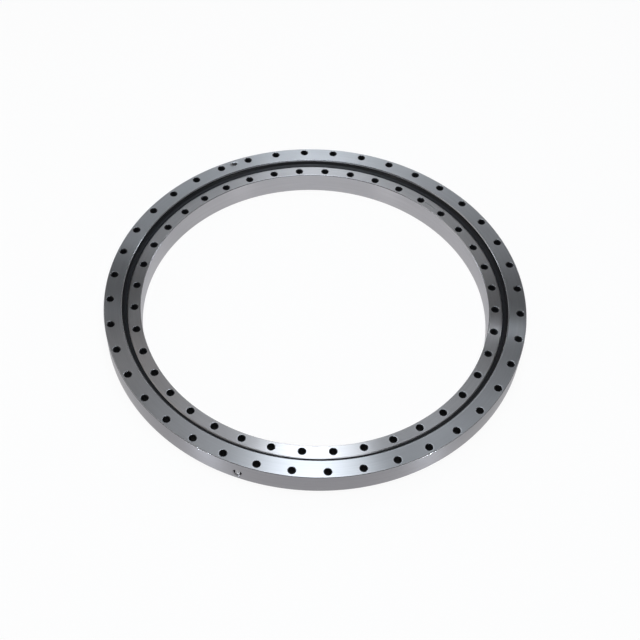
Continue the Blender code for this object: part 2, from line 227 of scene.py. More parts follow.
# Floor and surroundings
WHITE = (1, 1, 1, 1)
FLOOR_HALF = 6.0
FLOOR_DROP = 0.4 * MM
FLOOR_COLOUR = (0.9, 0.9, 0.9, 1)
FLOOR_GRAIN_SCALE = 40.0
FLOOR_ROUGHNESS = (0.75, 0.85)
FLOOR_GLOW = 0.93
WORLD_LEVEL = 0.04
BACKDROP_LEVEL = 0.5
BACKDROP_TOP = math.radians(42)
BACKDROP_FADE = math.radians(26)
COOL = (0.91, 1.0, 1.09)
PLAIN = (1.02, 0.99, 0.99)

# Lamps: name, bearing and elevation in degrees, distance, width and height in metres, brightness, colour
LAMPS = [
    ("front_left_overhead", 259, 74.7, 2.3, 0.69, 1.3, 1.4, COOL),
    ("front_right_overhead", 293, 73.5, 2.3, 0.84, 1.3, 3.9, COOL),
    ("rear_overhead", 81, 62, 2.2, 1.35, 0.68, 1.52, COOL),
    ("zenith", 0, 90, 2.3, 2.6, 0.55, 2.94, COOL),
    ("right_spot", 37, 38, 2.2, 0.06, 0.14, 28.0, COOL),
    ("right_edge_spot", 27.5, 22, 2.2, 0.15, 0.3, 11.0, COOL),
    ("left_edge_spot", 152.5, 24, 2.2, 0.15, 0.3, 5.5, COOL),
    ("left_strip", 229.5, 6, 2.3, 0.2, 0.3, 20.0, PLAIN),
    ("right_strip", 319, 6, 2.3, 0.2, 0.3, 20.0, PLAIN),
    ("left_floor_strip", 231.5, -1.4, 2.3, 0.42, 0.11, 185.0, COOL),
    ("right_floor_strip", 318.5, -1.4, 2.3, 0.42, 0.11, 185.0, COOL),
    ("left_front", 200, 66, 2.4, 1.42, 1.26, 0.44, PLAIN),
    ("left_side", 176, 38, 2.4, 1.8, 1.5, 0.98, PLAIN),
    ("left_rear", 150, 45, 2.4, 0.8, 0.7, 0.12, PLAIN),
    ("right_side", 5, 36, 2.4, 1.5, 1.2, 0.12, PLAIN),
]


class Skin:
    """Grids of points that are welded along their shared edges into one closed mesh."""

    def __init__(self):
        self.points = []
        self.quads = []
        self.finishes = []
        self.count = 0

    def add(self, grid, finish=0):
        """Adds quads between neighbours of a grid (rows, columns, 3), or of many alike (copies, ...).

        The finish is one material slot, or one for each strip between two rows.
        """
        grid = np.asarray(grid, float)
        if grid.ndim == 3:
            grid = grid[None]
        copies, rows, columns = grid.shape[:3]
        index = self.count + np.arange(copies * rows * columns).reshape(copies, rows, columns)
        corners = (index[:, :-1, :-1], index[:, 1:, :-1], index[:, 1:, 1:], index[:, :-1, 1:])
        strips = np.broadcast_to(np.reshape(finish, (1, -1, 1)), (copies, rows - 1, columns - 1))
        self.points.append(grid.reshape(-1, 3))
        self.quads.append(np.stack(corners, -1).reshape(-1, 4))
        self.finishes.append(strips.reshape(-1))
        self.count += copies * rows * columns
        return self

    def mesh(self, name):
        """The welded mesh: doubles merged, faces turned outwards, smooth but for its sharp edges."""
        points = np.concatenate(self.points).astype(np.float32)
        quads = np.concatenate(self.quads).astype(np.int32)
        made = bpy.data.meshes.new(name)
        made.vertices.add(len(points))
        made.vertices.foreach_set("co", points.ravel())
        made.loops.add(quads.size)
        made.loops.foreach_set("vertex_index", quads.ravel())
        made.polygons.add(len(quads))
        made.polygons.foreach_set("loop_start", np.arange(0, quads.size, 4, dtype=np.int32))
        made.polygons.foreach_set("material_index", np.concatenate(self.finishes).astype(np.int32))
        made.update(calc_edges=True)
        bm = bmesh.new()
        bm.from_mesh(made)
        bmesh.ops.remove_doubles(bm, verts=bm.verts, dist=WELD)
        bmesh.ops.recalc_face_normals(bm, faces=bm.faces)
        bm.to_mesh(made)
        bm.free()
        made.shade_smooth()
        made.set_sharp_from_angle(angle=SHARP_ABOVE)
        return made


def add_object(name, data):
    """A new object of the scene, at the origin."""
    made = bpy.data.objects.new(name, data)
    bpy.context.scene.collection.objects.link(made)
    return made


def place_piece(mesh, body, materials, replaced):
    """Makes a finished piece of the bearing from a mesh that already lies where it belongs."""
    piece = add_object(mesh.name, mesh)
    for material in materials:
        mesh.materials.append(material)
    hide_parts(*replaced)
    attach(piece, body)


def quadratic(start, bend, end, part):
    """Quadratic curve from start to end, drawn towards bend, at each share of the way in part."""
    return (1 - part) ** 2 * start + 2 * part * (1 - part) * bend + part**2 * end


def rounded(corners, blend, steps=3):
    """An outline whose inner corners are soft: each is a quadratic arc between points cut back by blend."""
    corners = np.asarray(corners, float)
    before = corners[:-2] - corners[1:-1]
    after = corners[2:] - corners[1:-1]
    long_before = np.linalg.norm(before, axis=1, keepdims=True)
    long_after = np.linalg.norm(after, axis=1, keepdims=True)
    back = np.minimum(blend, MOST_CUT_BACK * np.minimum(long_before, long_after))
    start = corners[1:-1] + before / long_before * back
    end = corners[1:-1] + after / long_after * back
    part = np.linspace(0, 1, steps + 1)[None, :, None]
    arcs = quadratic(start[:, None], corners[1:-1, None], end[:, None], part)
    return np.concatenate([corners[:1], arcs.reshape(-1, 2), corners[-1:]])


def turned(outline, steps, first_angle=0.0, place=None):
    """Surface of revolution: points (radius, height) carried once round Z, then placed by a matrix."""
    radius, height = np.asarray(outline, float).T[:, :, None]
    angle = first_angle + np.linspace(0, math.tau, steps + 1)[None]
    grid = np.stack([radius * np.cos(angle), radius * np.sin(angle), height + 0 * angle], -1)
    return grid if place is None else placed(grid, place)


def placed(grid, place):
    """The grid moved by a 4x4 placement."""
    place = np.array(place)
    return grid @ place[:3, :3].T + place[:3, 3]


def placed_copies(grid, places):
    """The grid repeated at each of several placements, as (copies, rows, columns, 3)."""
    return np.stack([placed(grid, place) for place in places])


def about_axis(angle):
    """Placement turned about the slewing axis."""
    return Matrix.Rotation(angle, 4, "Z")


def radial(angle):
    """Placement that turns a piece's own Z into the way straight out, level with the rollers."""
    lift = Matrix.Translation((0, 0, BOLTING_FACE))
    return about_axis(angle) @ lift @ Matrix.Rotation(math.radians(90), 4, "Y")


def ring_outline(section, side):
    """Section points (x, y) as (radius, height), for the outer group or turned half round."""
    section = np.asarray(section, float)
    return np.stack([ROLLER_CIRCLE + side * section[:, 0], BOLTING_FACE + side * section[:, 1]], -1)


def rim_finish(section):
    """Finish of each strip of the plain wall: upright ones wall, level ones face, slanting ones edge."""
    across, up = np.abs(np.diff(section, axis=0)).T
    leaning = SQUARE_WITHIN * np.hypot(across, up)
    return np.select([across < leaning, up < leaning], [TURNED_WALL, FACE], EDGE)


def raceway_finish(section):
    """Finish of each strip towards the other ring: face beside the seal, the rest ground like an edge."""
    middle = (section[1:] + section[:-1]) / 2
    beside_seal = (middle[:, 0] > WALL + SEAL_WIDTH) & (middle[:, 1] < -STEP_FACE + SEAL_CHAMFER_DEPTH)
    return np.where(beside_seal, FACE, EDGE)


def rim_section():
    """The plain wall of a ring with its two chamfers, from one flat face's edge to the other's."""
    corners = [
        (REACH - RIM_CHAMFER - FACE_LIP, BOLTING_FACE),
        (REACH - RIM_CHAMFER, BOLTING_FACE),
        (REACH, BOLTING_FACE - RIM_CHAMFER),
        (REACH, -STEP_FACE + RIM_CHAMFER),
        (REACH - RIM_CHAMFER, -STEP_FACE),
        (REACH - RIM_CHAMFER - FACE_LIP, -STEP_FACE),
    ]
    return rounded(corners, RING_EDGE_BLEND)


def raceway_section():
    """The wall towards the other ring: chamfer, seal recess, land, V raceway with relief, lip chamfer."""
    corners = [
        (WALL + SEAL_WIDTH + SEAL_CHAMFER_WIDTH + FACE_LIP, -STEP_FACE),
        (WALL + SEAL_WIDTH + SEAL_CHAMFER_WIDTH, -STEP_FACE),
        (WALL + SEAL_WIDTH, -STEP_FACE + SEAL_CHAMFER_DEPTH),
        (WALL + SEAL_WIDTH + SEAL_UNDERCUT, -SEAL_ROOF),
        (WALL, -SEAL_ROOF),
        (WALL, -RACEWAY_MOUTH),
        (RACEWAY_APEX - RELIEF, -RELIEF),
        (RACEWAY_APEX + RELIEF_DEPTH, -RELIEF_FLOOR_HALF),
        (RACEWAY_APEX + RELIEF_DEPTH, RELIEF_FLOOR_HALF),
        (RACEWAY_APEX - RELIEF, RELIEF),
        (WALL, RACEWAY_MOUTH),
        (WALL, BOLTING_FACE - LIP_CHAMFER),
        (WALL + LIP_CHAMFER, BOLTING_FACE),
        (WALL + LIP_CHAMFER + FACE_LIP, BOLTING_FACE),
    ]
    return rounded(corners, RING_EDGE_BLEND)


def sector_border(low_radius, high_radius):
    """The edge of one bolt hole's sector of a flat face: arc, flank, arc, flank, back to its start."""
    half = HOLE_PITCH / 2
    arc = np.linspace(-half, half, ARC_STEPS + 1)[:-1]
    flank = np.linspace(0, 1, FLANK_STEPS + 1)[:-1]
    fall = high_radius + flank * (low_radius - high_radius)
    rise = low_radius + flank * (high_radius - low_radius)
    radius = np.concatenate([0 * arc + high_radius, fall, 0 * arc + low_radius, rise, [high_radius]])
    angle = np.concatenate([arc, 0 * flank + half, -arc, 0 * flank - half, [-half]])
    return np.stack([radius * np.cos(angle), radius * np.sin(angle)], -1)


def hole_circles(centre, radii, heights):
    """Circles round a bolt hole's axis, a row for each radius and height, in step with the border."""
    angle = (np.arange(HOLE_STEPS + 1) - ARC_STEPS / 2) * math.tau / HOLE_STEPS
    radii = np.reshape(radii, (-1, 1))
    heights = np.reshape(heights, (-1, 1))
    return np.stack([centre + radii * np.cos(angle), radii * np.sin(angle), heights + 0 * angle], -1)


def hole_section(top, bottom):
    """The wall of a bolt hole as (radius, height), with a chamfer at both ends."""
    corners = [
        (HOLE_RADIUS + HOLE_CHAMFER + FACE_LIP, top),
        (HOLE_RADIUS + HOLE_CHAMFER, top),
        (HOLE_RADIUS, top - HOLE_CHAMFER),
        (HOLE_RADIUS, bottom + HOLE_CHAMFER),
        (HOLE_RADIUS + HOLE_CHAMFER, bottom),
        (HOLE_RADIUS + HOLE_CHAMFER + FACE_LIP, bottom),
    ]
    return rounded(corners, EDGE_BLEND / 2, steps=2)


def ring_skin(side, turn):
    """A ring with its bolt holes. Each flat face is blended from its sectors' edges to the holes'."""
    skin = Skin()
    places = [about_axis(turn + number * HOLE_PITCH) for number in range(BOLT_HOLE_COUNT)]
    centre = ROLLER_CIRCLE + side * HOLE_X
    rim_points, raceway_points = rim_section(), raceway_section()
    rim = ring_outline(rim_points, side)
    raceway = ring_outline(raceway_points, side)
    part = np.reshape(FACE_ROWS, (-1, 1, 1))
    for rim_edge, raceway_edge in ((rim[0], raceway[-1]), (rim[-1], raceway[0])):
        low, high = sorted((rim_edge[0], raceway_edge[0]))
        border = np.insert(sector_border(low, high), 2, rim_edge[1], axis=1)
        hole = hole_circles(centre, HOLE_RADIUS + HOLE_CHAMFER + FACE_LIP, rim_edge[1])[0]
        skin.add(placed_copies((1 - part) * border + part * hole, places), FACE)
    top, bottom = sorted((rim[0][1], rim[-1][1]), reverse=True)
    section = hole_section(top, bottom)
    # Past the mouth's chamfer the bolt hole's wall is near-black steel: painted shade for the dark inside
    # of the hole
    finish = np.where(section[:-1, 0] > HOLE_RADIUS + HOLE_CHAMFER / 2, EDGE, PAINTED_HOLE_SHADE)
    skin.add(placed_copies(hole_circles(centre, *section.T), places), finish)
    skin.add(turned(rim, RING_STEPS, turn), rim_finish(rim_points))
    skin.add(turned(raceway, RING_STEPS, turn), raceway_finish(raceway_points))
    return skin


def cut_away(mesh, *cutters):
    """The mesh less the cutters, each a skin whose finishes are slots of the mesh."""
    piece = add_object(mesh.name, mesh)
    tools = []
    for number, cutter in enumerate(cutters):
        tool_mesh = cutter.mesh(f"{mesh.name}_cutter_{number}")
        tools.append(add_object(tool_mesh.name, tool_mesh))
        boolean = piece.modifiers.new(tool_mesh.name, "BOOLEAN")
        boolean.operation = "DIFFERENCE"
        boolean.solver = "EXACT"
        boolean.object = tools[-1]
    evaluated = piece.evaluated_get(bpy.context.evaluated_depsgraph_get())
    result = bpy.data.meshes.new_from_object(evaluated)
    for used in (piece, *tools):
        bpy.data.objects.remove(used)
    result.name = mesh.name + "_finished"
    result.shade_smooth()
    result.set_sharp_from_angle(angle=SHARP_ABOVE)
    return result


def port_cutter(angle):
    """A grease port: countersink, seat of the nipple's head, thread hole and grease way.

    The countersink is turned like the wall round it, and all that lies deeper is near-black steel, painted
    shade.
    """
    seat = OUTER_WALL - COUNTERSINK_DEPTH
    shoulder = seat - NIPPLE_HEAD_HEIGHT
    thread_end = shoulder - NIPPLE_THREAD_LENGTH - SEAT_CLEARANCE
    head = NIPPLE_HEAD_RADIUS + SEAT_CLEARANCE
    flare = (COUNTERSINK_RADIUS - head) * OVERRUN / COUNTERSINK_DEPTH
    outline = [
        (0, ROLLER_CIRCLE + WALL),
        (GREASE_WAY_RADIUS, ROLLER_CIRCLE + WALL),
        (GREASE_WAY_RADIUS, thread_end),
        (NIPPLE_THREAD_RADIUS + SEAT_CLEARANCE, thread_end),
        (NIPPLE_THREAD_RADIUS + SEAT_CLEARANCE, shoulder),
        (head, shoulder),
        (head, seat),
        (COUNTERSINK_RADIUS + flare, OUTER_WALL + OVERRUN),
        (0, OUTER_WALL + OVERRUN),
    ]
    # All that lies deeper than the countersink is near-black steel: painted shade inside the port
    finish = [PAINTED_HOLE_SHADE] * 6 + [TURNED_WALL, TURNED_WALL]
    return Skin().add(turned(outline, SMALL_STEPS, place=radial(angle)), finish)


def plug_bore_cutter():
    """The bore for the filling plug, through the outer ring's wall, with a small chamfer outside."""
    bore = PLUG_RADIUS + SEAT_CLEARANCE
    lead = PLUG_CHAMFER + OVERRUN
    outline = [
        (0, ROLLER_CIRCLE),
        (bore, ROLLER_CIRCLE),
        (bore, OUTER_WALL - PLUG_CHAMFER),
        (bore + lead, OUTER_WALL + OVERRUN),
        (0, OUTER_WALL + OVERRUN),
    ]
    return Skin().add(turned(outline, SMALL_STEPS, place=radial(PLUG_ANGLE)), EDGE)


def pin_radius(height):
    """The taper pin's radius at a height: it narrows by its taper below the bolting face."""
    return PIN_RADIUS - (TOP_FACE - height) * PIN_TAPER / 2


def pin_bottom():
    """Height of the taper pin's lower end, a little below the filling plug."""
    return BOLTING_FACE - PLUG_RADIUS - PIN_BELOW_PLUG


def pin_place():
    """The pin stands on the outer bolt circle, between two bolt holes."""
    return about_axis(PLUG_ANGLE) @ Matrix.Translation((ROLLER_CIRCLE + HOLE_X, 0, 0))


def pin_hole_cutter():
    """The reamed hole for the taper pin, with a shallow countersink at its mouth."""
    bottom = pin_bottom() - SEAT_CLEARANCE
    mouth = PIN_RADIUS + SEAT_CLEARANCE
    flare = (PIN_MOUTH_DEPTH + OVERRUN) * PIN_MOUTH_WIDTH / PIN_MOUTH_DEPTH
    outline = [
        (0, bottom),
        (pin_radius(bottom) + SEAT_CLEARANCE, bottom),
        (mouth, TOP_FACE - PIN_MOUTH_DEPTH),
        (mouth + flare, TOP_FACE + OVERRUN),
        (0, TOP_FACE + OVERRUN),
    ]
    return Skin().add(turned(outline, SMALL_STEPS, place=pin_place()), EDGE)


def taper_pin_skin():
    """The pin: a long cone with a soft bevel round its flat head."""
    top = TOP_FACE - PIN_DROP
    bottom = pin_bottom()
    corners = [
        (0, bottom),
        (pin_radius(bottom), bottom),
        (pin_radius(top), top - EDGE_BLEND),
        (pin_radius(top) - 2 * EDGE_BLEND, top),
        (0, top),
    ]
    return Skin().add(turned(rounded(corners, EDGE_BLEND), SMALL_STEPS, place=pin_place()))


def thread_grid(radius, low, high):
    """The wall of a threaded hole or shank: its radius dips by a triangle wave of height less the turn.

    Towards both ends the wave fades out, so that the wall meets the plain rings beside it.
    """
    height = np.linspace(low, high, THREAD_STEPS * round((high - low) / THREAD_PITCH) + 1)[:, None]
    angle = np.linspace(0, math.tau, SMALL_STEPS + 1)[None]
    wave = np.abs(2 * ((height / THREAD_PITCH - angle / math.tau) % 1) - 1)
    fade = np.clip(np.minimum(height - low, high - height) / (THREAD_PITCH / 2), 0, 1)
    dipped = radius - THREAD_DEPTH * wave * fade
    return np.stack([dipped * np.cos(angle), dipped * np.sin(angle), height + 0 * angle], -1)


def raceway_wedge():
    """The stretch of V raceway that the plug carries: a wedge across the plug's inner end.

    Its section is a triangle, carried straight across and drawn in to its middle at both ends.
    """
    mouth = RACEWAY_APEX + OVERRUN
    section = np.array([(RACEWAY_APEX, 0), (-OVERRUN, mouth), (-OVERRUN, -mouth), (RACEWAY_APEX, 0)])
    shrink = np.array([0, 1, 1, 0]).reshape(-1, 1, 1)
    along = np.array([-1, -1, 1, 1]).reshape(-1, 1) * WEDGE_HALF
    centre = section[:3].mean(0)
    points = centre + (section - centre) * shrink
    outward, upward = points[..., 0], points[..., 1]
    grid = np.stack([ROLLER_CIRCLE + outward, along + 0 * outward, BOLTING_FACE + upward], -1)
    return Skin().add(placed(grid, about_axis(PLUG_ANGLE)), EDGE)


def plug_skin():
    """The filling plug before its raceway is cut: a turned body with a threaded blind hole."""
    skin = Skin()
    place = radial(PLUG_ANGLE)
    outer = OUTER_WALL - PLUG_DROP
    inner = ROLLER_CIRCLE + WALL
    hole_end = outer - EXTRACTION_DEPTH
    mouth = outer - THREAD_DEPTH
    body = [
        (0, inner),
        (PLUG_RADIUS, inner),
        (PLUG_RADIUS, outer - PLUG_CHAMFER),
        (PLUG_RADIUS - PLUG_CHAMFER, outer),
        (EXTRACTION_RADIUS + THREAD_DEPTH, outer),
        (EXTRACTION_RADIUS, mouth),
    ]
    skin.add(turned(rounded(body, EDGE_BLEND / 2), SMALL_STEPS, place=place))
    skin.add(placed(thread_grid(EXTRACTION_RADIUS, hole_end, mouth), place))
    drilled_end = [(EXTRACTION_RADIUS, hole_end), (0, hole_end - DRILL_POINT)]
    skin.add(turned(drilled_end, SMALL_STEPS, place=place))
    return skin


def with_flats(grid, half_width):
    """The grid with two wrench flats: no point lies further than the half width to either side."""
    grid = grid.copy()
    grid[..., 1] = np.clip(grid[..., 1], -half_width, half_width)
    return grid


def nipple_skin(angle):
    """A flush grease nipple: thread, head with two flats, funnel for the gun's nose, and the ball in it."""
    skin = Skin()
    place = radial(angle)
    face = OUTER_WALL - COUNTERSINK_DEPTH
    under_head = face - NIPPLE_HEAD_HEIGHT + SEAT_CLEARANCE
    thread_end = under_head - NIPPLE_THREAD_LENGTH
    lead = 2 * EDGE_BLEND
    skin.add(turned([(0, thread_end), (NIPPLE_THREAD_RADIUS - lead, thread_end)], SMALL_STEPS, place=place))
    tip = [(NIPPLE_THREAD_RADIUS - lead, thread_end), (NIPPLE_THREAD_RADIUS, thread_end + lead)]
    skin.add(turned(tip, SMALL_STEPS, place=place))
    skin.add(placed(thread_grid(NIPPLE_THREAD_RADIUS, thread_end + lead, under_head), place))
    head = [
        (NIPPLE_THREAD_RADIUS, under_head),
        (NIPPLE_HEAD_RADIUS, under_head),
        (NIPPLE_HEAD_RADIUS, face - lead),
        (NIPPLE_HEAD_RADIUS - lead, face),
        (FUNNEL_RADIUS, face),
        (FUNNEL_RADIUS - FUNNEL_DEPTH, face - FUNNEL_DEPTH),
        (BALL_RADIUS, face - FUNNEL_DEPTH),
    ]
    skin.add(placed(with_flats(turned(rounded(head, EDGE_BLEND / 2), SMALL_STEPS), NIPPLE_FLAT), place))
    turn = np.linspace(0, math.pi / 2, BALL_STEPS + 1)
    ball = np.stack([BALL_RADIUS * np.cos(turn), face - FUNNEL_DEPTH + BALL_RADIUS * np.sin(turn)], -1)
    skin.add(turned(ball, SMALL_STEPS, place=place))
    return skin


def seal_skin(side, turn):
    """A seal: foot in the undercut, raised lip with a curved root, and fine ridges on its open face.

    The lip's side runs straight for a share of its way to the root, and on to it as a quadratic curve.
    From the root the open face runs straight to the heel, with whole cosine waves laid on it.
    """
    lip_x = -WALL + SEAT_CLEARANCE
    lip_y = BOLTING_FACE - UPPER_SEAL_TOP
    heel = np.array([WALL + SEAL_WIDTH - SEAT_CLEARANCE, -STEP_FACE + SEAT_CLEARANCE])
    lip = np.array([lip_x + SEAL_LIP_THICKNESS, lip_y])
    root = np.array([lip_x + SEAL_ROOT_WIDTH, -STEP_FACE - SEAL_ROOT_RISE])
    corners = [
        tuple(heel),
        (heel[0], -STEP_FACE + SEAL_CHAMFER_DEPTH),
        (heel[0] + SEAL_UNDERCUT, -SEAL_ROOF - SEAT_CLEARANCE),
        (WALL + SEAT_CLEARANCE, -SEAL_ROOF - SEAT_CLEARANCE),
        (lip_x, lip_y),
        tuple(lip),
        tuple(lip + (root - lip) * SEAL_LIP_STRAIGHT),
    ]
    outline = rounded(corners, EDGE_BLEND)
    part = np.linspace(0, 1, SEAL_ROOT_STEPS + 1)[:, None]
    bend = np.array([root[0] - SEAL_LIP_THICKNESS, root[1] - SEAL_ROOT_RISE / 2])
    curve = quadratic(outline[-1], bend, root, part)
    part = np.linspace(0, 1, SEAL_RIDGE_STEPS * SEAL_RIDGE_COUNT + 1)[:, None]
    ridges = root + part * (heel - root)
    ridges[:, 1] += SEAL_RIDGE * (1 - np.cos(math.tau * SEAL_RIDGE_COUNT * part[:, 0])) / 2
    whole = ring_outline(np.concatenate([outline, curve[1:], ridges[1:]]), side)
    return Skin().add(turned(whole, RING_STEPS, turn))


def station(angle, lean):
    """Placement on the roller circle, with its own Z leaning from the vertical."""
    middle = Matrix.Translation((ROLLER_CIRCLE, 0, BOLTING_FACE))
    return about_axis(angle) @ middle @ Matrix.Rotation(lean, 4, "Y")


def roller_skin(first, lean):
    """Every second roller of the set, leaning one way: cylinders with chamfered ends."""
    half = ROLLER_LENGTH / 2
    outline = [
        (0, -half),
        (ROLLER_RADIUS - ROLLER_CHAMFER, -half),
        (ROLLER_RADIUS, -half + ROLLER_CHAMFER),
        (ROLLER_RADIUS, half - ROLLER_CHAMFER),
        (ROLLER_RADIUS - ROLLER_CHAMFER, half),
        (0, half),
    ]
    step = math.tau / ROLLER_COUNT
    places = [station(number * step, lean) for number in range(first, ROLLER_COUNT, 2)]
    return Skin().add(placed_copies(turned(outline, ROLLER_SIDES), places))


def saddle_skin():
    """The spacers: a squarish block between two hollows that fit the crossed rollers beside it.

    In the plane across the circle the block is a superellipse, |a|^n + |b|^n = size^n. Over it each
    hollow lies at half the rollers' distance less the root of the pocket's radius squared less a squared,
    for one side, and b squared for the other. Every second spacer is turned by a right angle.
    """
    step = math.tau / ROLLER_COUNT
    half_way = ROLLER_CIRCLE * math.sin(step / 2)
    pocket = ROLLER_RADIUS + SADDLE_CLEARANCE
    angle = np.linspace(0, math.tau, SADDLE_SIDES + 1)
    reach = np.abs(np.cos(angle)) ** SADDLE_SQUARENESS + np.abs(np.sin(angle)) ** SADDLE_SQUARENESS
    reach = SADDLE_HALF * reach ** (-1 / SADDLE_SQUARENESS)
    part = np.reshape(SADDLE_ROWS, (-1, 1))
    across = part * reach * np.cos(angle)
    along = part * reach * np.sin(angle)
    ahead = half_way - np.sqrt(pocket**2 - across**2)
    behind = np.sqrt(pocket**2 - along**2) - half_way
    row = np.arange(len(part)).reshape(-1, 1)
    depth = np.where(row < len(part) // 2, ahead, behind)
    grid = np.stack([across, depth, along], -1)
    skin = Skin()
    for first, lean in ((0, LEAN_IN), (1, LEAN_OUT)):
        places = [station((number + 0.5) * step, lean) for number in range(first, ROLLER_COUNT, 2)]
        skin.add(placed_copies(grid, places))
    return skin


def set_inputs(tree, node, inputs):
    """Sets a node's inputs, each to a value or to the socket that feeds it."""
    for key, value in inputs.items():
        if isinstance(value, bpy.types.NodeSocket):
            tree.links.new(value, node.inputs[key])
        else:
            node.inputs[key].default_value = value


def add_node(tree, kind, inputs=None, **settings):
    """A node with its settings and its inputs."""
    made = tree.nodes.new(kind)
    for name, value in settings.items():
        setattr(made, name, value)
    set_inputs(tree, made, inputs or {})
    return made


def math_node(tree, operation, *values):
    """The result of a Math node."""
    return add_node(tree, "ShaderNodeMath", dict(enumerate(values)), operation=operation).outputs[0]


def vector_node(tree, operation, *values):
    """The outputs of a Vector Math node."""
    return add_node(tree, "ShaderNodeVectorMath", dict(enumerate(values)), operation=operation).outputs


def group_node(tree, group, inputs):
    """The outputs of a node that uses one of the shared groups."""
    return add_node(tree, "ShaderNodeGroup", inputs, node_tree=group).outputs


def apart(tree, vector):
    """The X, Y and Z of a vector."""
    return add_node(tree, "ShaderNodeSeparateXYZ", {0: vector}).outputs


def noise(tree, place, scale, detail=3.0):
    """Noise in space, around the middle of 0 to 1."""
    inputs = {"Vector": place, "Scale": scale, "Detail": detail}
    return add_node(tree, "ShaderNodeTexNoise", inputs).outputs[0]


def noise_along(tree, value, detail=2.0):
    """Noise that changes along one value alone."""
    inputs = {"W": value, "Detail": detail}
    return add_node(tree, "ShaderNodeTexNoise", inputs, noise_dimensions="1D").outputs[0]


def bumped(tree, height, depth, strength):
    """The shading normal of a surface whose height changes by up to the depth."""
    inputs = {"Height": height, "Distance": depth, "Strength": strength}
    return add_node(tree, "ShaderNodeBump", inputs).outputs[0]


def between(tree, factor, low, high):
    """A value that runs from low to high as the factor runs from 0 to 1."""
    ranges = {"Value": factor, "To Min": low, "To Max": high}
    return add_node(tree, "ShaderNodeMapRange", ranges).outputs[0]


def varied_colour(tree, factor, colour, variation):
    """The colour, made darker to lighter by a share of itself as the factor runs from 0 to 1."""
    mix = add_node(tree, "ShaderNodeMix", {"Factor": factor}, data_type="RGBA")
    mix.inputs[MIX_FIRST].default_value = (*(value * (1 - variation) for value in colour), 1)
    mix.inputs[MIX_SECOND].default_value = (*(value * (1 + variation) for value in colour), 1)
    return mix.outputs[MIX_RESULT]


def new_group(name, inputs, outputs):
    """An empty node group. Returns its tree, its inputs by name, and its output node."""
    tree = bpy.data.node_groups.new(name, "ShaderNodeTree")
    for label, kind, default in inputs:
        socket = tree.interface.new_socket(label, in_out="INPUT", socket_type=kind)
        if default is not None:
            socket.default_value = default
    for label in outputs:
        tree.interface.new_socket(label, in_out="OUTPUT", socket_type="NodeSocketFloat")
    given = tree.nodes.new("NodeGroupInput")
    return tree, given.outputs, tree.nodes.new("NodeGroupOutput")


def turning_marks_group():
    """Marks of the lathe: they run round the slewing axis and change across it.

    The place across the marks is the radius plus a share of the height, so that it changes on faces, walls
    and chamfers alike. Height is fine grooves with broader bands, rising across by the slope, and Tone is
    long faint streaks.
    """
    inputs = [
        ("Vector", "NodeSocketVector", None),
        ("Grooves per Metre", "NodeSocketFloat", GROOVES_PER_METRE),
        ("Streaks per Metre", "NodeSocketFloat", STREAKS_PER_METRE),
        ("Slope", "NodeSocketFloat", 0.0),
    ]
    tree, given, out = new_group("turning_marks", inputs, ("Height", "Tone"))
    flat = vector_node(tree, "MULTIPLY", given["Vector"], (1, 1, 0))["Vector"]
    radius = vector_node(tree, "LENGTH", flat)["Value"]
    across = math_node(tree, "MULTIPLY_ADD", apart(tree, given["Vector"])["Z"], HEIGHT_SHARE, radius)
    grooves = math_node(tree, "MULTIPLY", across, given["Grooves per Metre"])
    bands = math_node(tree, "MULTIPLY", grooves, BAND_SHARE)
    fine, broad = noise_along(tree, grooves), noise_along(tree, bands)
    mixed = math_node(tree, "MULTIPLY_ADD", broad, BAND_WEIGHT, fine)
    sloping = math_node(tree, "MULTIPLY_ADD", across, given["Slope"], mixed)
    way = apart(tree, vector_node(tree, "NORMALIZE", flat)["Vector"])
    streaks = math_node(tree, "MULTIPLY", across, given["Streaks per Metre"])
    place = add_node(tree, "ShaderNodeCombineXYZ", {"X": way["X"], "Y": way["Y"], "Z": streaks}).outputs[0]
    set_inputs(tree, out, {"Height": sloping, "Tone": noise(tree, place, STREAK_SCALE)})
    return tree


def handling_group():
    """Faint clouds left by wiping and handling: a mask from 0, clean, to 1."""
    inputs = [("Vector", "NodeSocketVector", None), ("Scale", "NodeSocketFloat", CLOUD_SCALE)]
    tree, given, out = new_group("handling_marks", inputs, ("Mask",))
    cloud = noise(tree, given["Vector"], given["Scale"], detail=4.0)
    ranges = {"Value": cloud, "From Min": CLOUD_FROM, "From Max": CLOUD_TO}
    set_inputs(tree, out, {"Mask": add_node(tree, "ShaderNodeMapRange", ranges).outputs[0]})
    return tree


TURNING_MARKS = turning_marks_group()
HANDLING_MARKS = handling_group()


def new_material(name):
    """A material with only a Principled shader. Returns it, its tree, the shader and the coordinates."""
    made = bpy.data.materials.new(name)
    made.use_nodes = True
    tree = made.node_tree
    place = add_node(tree, "ShaderNodeTexCoord").outputs["Object"]
    return made, tree, tree.nodes["Principled BSDF"], place


